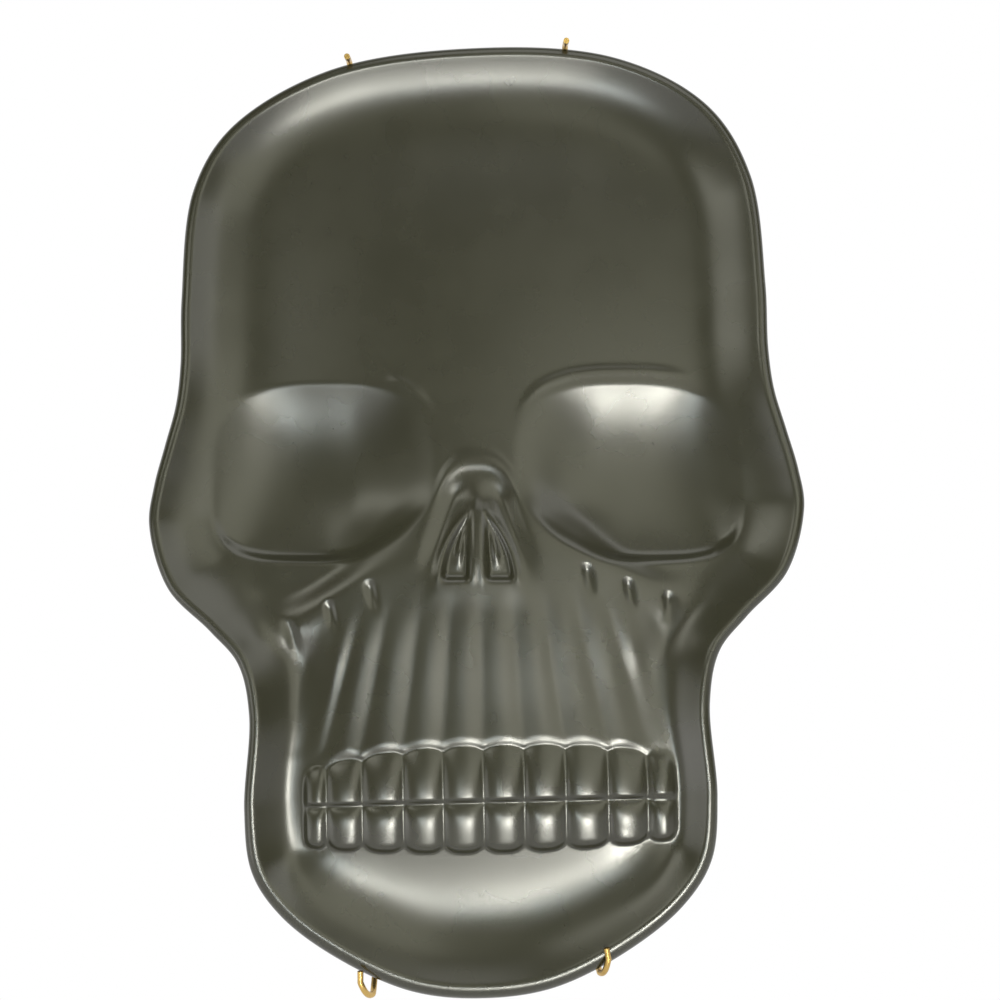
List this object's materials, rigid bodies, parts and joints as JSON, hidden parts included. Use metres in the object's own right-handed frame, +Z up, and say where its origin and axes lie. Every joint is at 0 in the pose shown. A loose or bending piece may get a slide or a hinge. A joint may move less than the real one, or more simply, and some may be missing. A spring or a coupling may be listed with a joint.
{
  "type": "skull wall plate with spring hanger",
  "caption": "Skull-shaped dark glazed wall plate with a raised lip, carved face and teeth, held at its rim by a brass wire hanger with springs behind.",
  "frame": {"origin": "the nail point: under the top of the hanger's centre loop, in the plane of the hanger wires behind the plate", "axes": "+Z up towards the crown, -Y out of the plate's face, +X to the right as seen from the front"},
  "size_m": [0.2094, 0.0285, 0.3058],
  "materials": {
    "glaze": "satin",
    "brass_wire": "polished",
    "spring_steel": "satin"
  },
  "bodies": {
    "plate_on_wire": {"skull_plate": "glaze", "upper_wire": "brass_wire", "spring_left": "spring_steel", "spring_right": "spring_steel"},
    "lower_hooks": {"lower_wire": "brass_wire"}
  },
  "joints": [
    {"name": "lower_hook_pull", "type": "slide", "parent": "plate_on_wire", "child": "lower_hooks", "axis": [0, 0, -1], "range_m": [0, 0.012], "stiffness_N_per_m": 800, "springref_m": -0.03, "deforming": ["spring_left", "spring_right"]}
  ]
}
